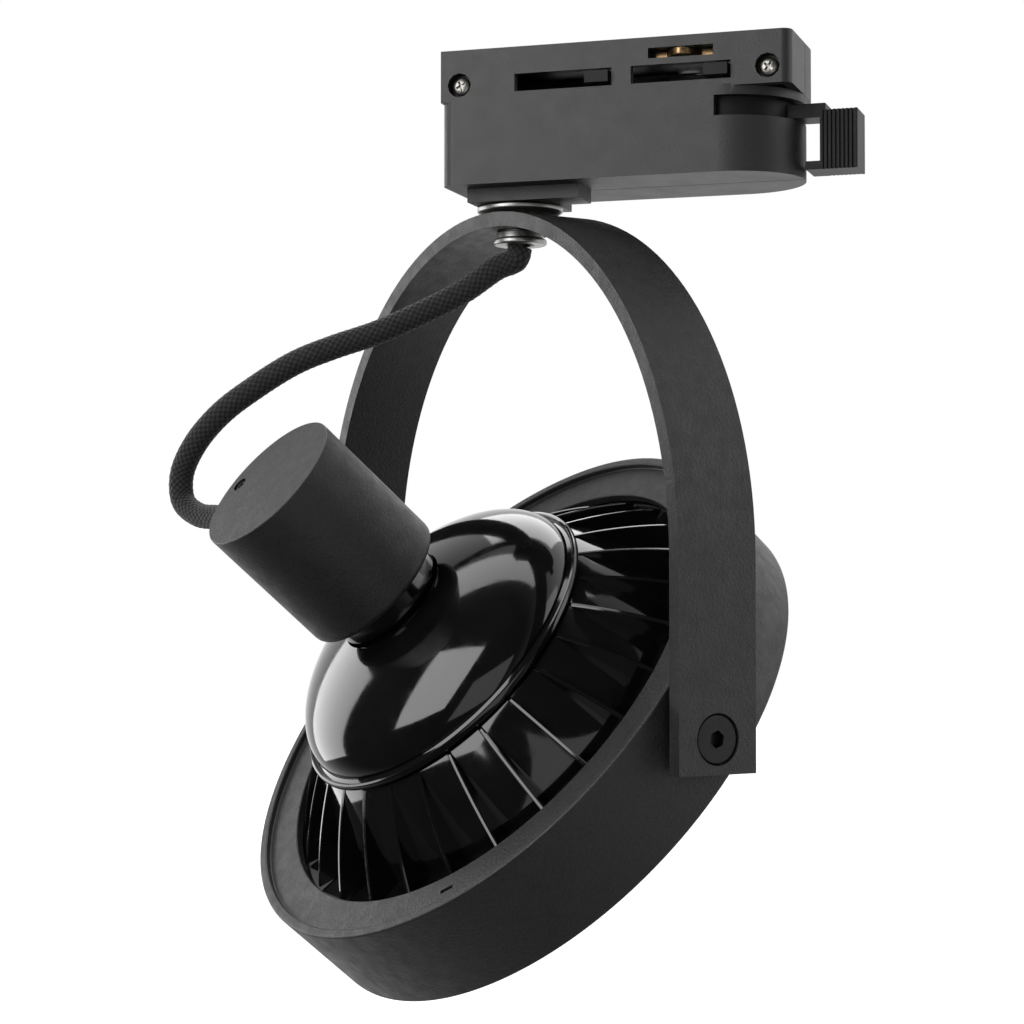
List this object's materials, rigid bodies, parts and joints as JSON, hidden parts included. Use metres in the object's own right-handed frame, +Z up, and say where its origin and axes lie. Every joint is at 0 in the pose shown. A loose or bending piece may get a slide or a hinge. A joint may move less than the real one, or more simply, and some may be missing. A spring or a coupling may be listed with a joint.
{
  "type": "track spotlight",
  "caption": "Adjustable track spotlight: a track adapter with locking lever, a swivelling strap yoke and a tilting ring holding a finned reflector lamp fed by a braided cord.",
  "frame": {"origin": "on the swivel axis, level with the top face of the track adapter, where the fitting hangs from its track", "axes": "+Z up along the swivel axis, +X along the adapter towards its locking lever"},
  "size_m": [0.1461, 0.1136, 0.1925],
  "materials": {
    "adapter_plastic": "finely textured moulded plastic",
    "lever_plastic": "satin moulded plastic",
    "black_coat": "fine textured black powder coat",
    "lamp_black": "polished black plastic",
    "chrome": "polished chrome plate",
    "nickel": "nickel-plated steel",
    "brass": "bright spring brass",
    "black_steel": "black oxide steel",
    "ceramic": "unglazed steatite",
    "lens": "frosted clear cover",
    "reflector": "vacuum-metallised",
    "board": "solder-masked board",
    "braid": "woven textile sleeve",
    "rubber": "moulded rubber",
    "wire_brown": "silicone insulation",
    "wire_blue": "silicone insulation"
  },
  "bodies": {
    "adapter": {"adapter_front_shell": "adapter_plastic", "adapter_rear_shell": "adapter_plastic", "adapter_screw_left": "nickel", "adapter_screw_right": "nickel", "contact_spring_front": "brass", "contact_spring_rear": "brass", "terminal_block": "ceramic", "lead_live": "wire_brown", "lead_neutral": "wire_blue", "hollow_nipple": "nickel", "nipple_lock_nut": "nickel", "swivel_washer": "chrome", "cord_outlet_nut": "chrome"},
    "lever": {"lock_lever": "lever_plastic", "latch_right": "lever_plastic"},
    "latch": {"latch_left": "lever_plastic"},
    "link": {"latch_link_bar": "black_steel"},
    "yoke": {"yoke": "black_coat", "power_cord": "braid"},
    "head": {"pivot_screw_right": "black_steel", "pivot_screw_left": "black_steel", "pivot_washer_right": "rubber", "pivot_washer_left": "rubber", "ring_housing": "black_coat", "lamp_retaining_ring": "black_steel", "lamp_bezel": "lamp_black", "lamp_lens": "lens", "lamp_reflector": "reflector", "led_board": "board", "lamp_heat_sink": "lamp_black", "lamp_dome": "lamp_black", "lamp_base": "lamp_black", "lamp_pin_a": "nickel", "lamp_pin_b": "nickel", "lamp_driver_board": "board", "lampholder": "ceramic", "socket_can": "black_coat", "can_screw": "black_steel", "cord_bushing": "rubber", "holder_contact_a": "brass", "holder_contact_b": "brass"}
  },
  "joints": [
    {"name": "lever_turn", "type": "hinge", "parent": "adapter", "child": "lever", "pos_m": [0.0455, 0, -0.0145], "axis": [0, 0, 1], "range_deg": [-75, 0]},
    {"name": "latch_turn", "type": "hinge", "parent": "adapter", "child": "latch", "pos_m": [0.021, 0, -0.0145], "axis": [0, 0, 1], "range_deg": [-75, 0]},
    {"name": "link_turn", "type": "hinge", "parent": "lever", "child": "link", "pos_m": [0.0455, 0.004, -0.0052], "axis": [0, 0, 1], "range_deg": [0, 75]},
    {"name": "yoke_swivel", "type": "hinge", "parent": "adapter", "child": "yoke", "pos_m": [0, 0, -0.035], "axis": [0, 0, 1], "range_deg": [-175, 175]},
    {"name": "head_tilt", "type": "hinge", "parent": "yoke", "child": "head", "pos_m": [0, 0, -0.1385], "axis": [-0.7738, 0.6334, 0], "range_deg": [-39.5, 50.5], "deforming": ["power_cord"]}
  ],
  "couplings": [
    {"joint": "latch_turn", "follows": "lever_turn", "ratio": 1},
    {"joint": "link_turn", "follows": "lever_turn", "ratio": -1}
  ]
}
